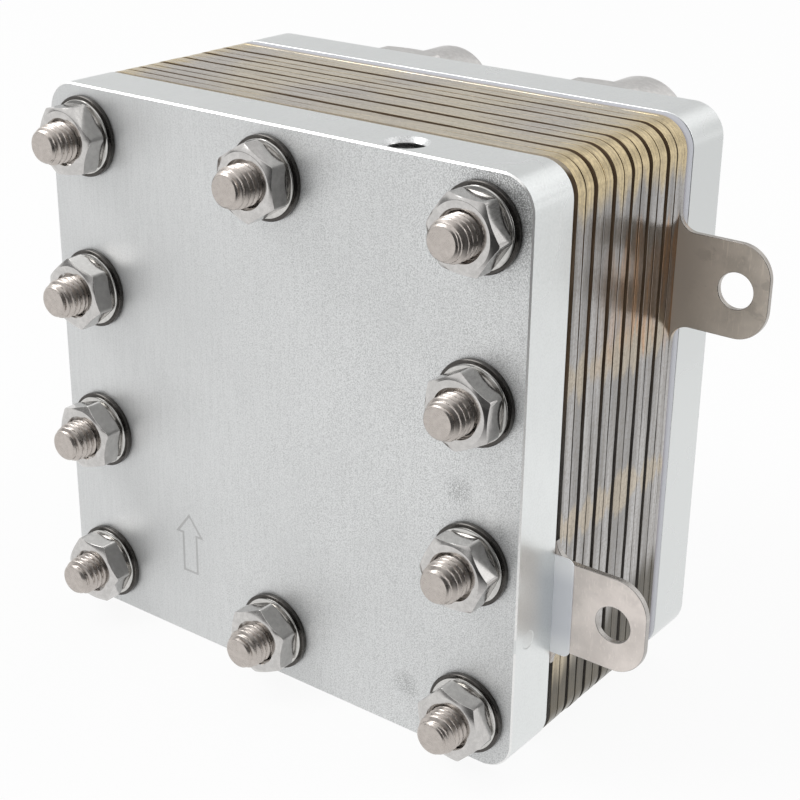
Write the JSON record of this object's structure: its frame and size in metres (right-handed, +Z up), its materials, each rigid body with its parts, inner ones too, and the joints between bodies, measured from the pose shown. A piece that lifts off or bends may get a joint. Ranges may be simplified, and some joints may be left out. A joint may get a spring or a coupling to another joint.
{
  "type": "pem electrolyzer stack",
  "caption": "Square stack of proton exchange membrane cells between thick metal end plates, clamped by tie bolts, with two connection lugs and rear pipe fittings.",
  "frame": {"origin": "on the base plane, on the centre line of the square plates, halfway along the stack between the outer faces of the end plates", "axes": "+X to the side with the connection lugs, +Y from the plate with the nuts to the plate with the pipe fittings, +Z up"},
  "size_m": [0.1332, 0.1055, 0.114],
  "materials": {
    "end_plate_metal": "fine blasted and brushed aluminium",
    "cell_plate_metal": "bright rolled titanium sheet",
    "current_plate_metal": "polished stainless steel sheet",
    "separator_metal": "dull stainless steel sheet",
    "fastener_metal": "bright stainless steel",
    "fitting_metal": "satin stainless steel",
    "insulator": "white insulating sheet",
    "membrane": "black coated membrane",
    "anode_felt": "sintered titanium felt",
    "cathode_paper": "carbon fibre paper"
  },
  "bodies": {
    "root": {"front_end_plate": "end_plate_metal", "rear_end_plate": "end_plate_metal", "front_film": "insulator", "rear_insulating_plate": "insulator", "front_current_plate": "current_plate_metal", "rear_current_plate": "current_plate_metal", "anode_plate_1": "cell_plate_metal", "anode_felt_1": "anode_felt", "membrane_1": "membrane", "cathode_paper_1": "cathode_paper", "cathode_plate_1": "cell_plate_metal", "anode_plate_2": "cell_plate_metal", "anode_felt_2": "anode_felt", "membrane_2": "membrane", "cathode_paper_2": "cathode_paper", "cathode_plate_2": "cell_plate_metal", "anode_plate_3": "cell_plate_metal", "anode_felt_3": "anode_felt", "membrane_3": "membrane", "cathode_paper_3": "cathode_paper", "cathode_plate_3": "cell_plate_metal", "anode_plate_4": "cell_plate_metal", "anode_felt_4": "anode_felt", "membrane_4": "membrane", "cathode_paper_4": "cathode_paper", "cathode_plate_4": "cell_plate_metal", "anode_plate_5": "cell_plate_metal", "anode_felt_5": "anode_felt", "membrane_5": "membrane", "cathode_paper_5": "cathode_paper", "cathode_plate_5": "cell_plate_metal", "anode_plate_6": "cell_plate_metal", "anode_felt_6": "anode_felt", "membrane_6": "membrane", "cathode_paper_6": "cathode_paper", "cathode_plate_6": "cell_plate_metal", "separator_1": "separator_metal", "separator_2": "separator_metal", "separator_3": "separator_metal", "separator_4": "separator_metal", "separator_5": "separator_metal", "tie_bolts": "fastener_metal", "tie_nuts": "fastener_metal", "front_washers": "fastener_metal", "fitting_bodies": "fitting_metal", "fitting_nuts": "fitting_metal"}
  },
  "joints": []
}
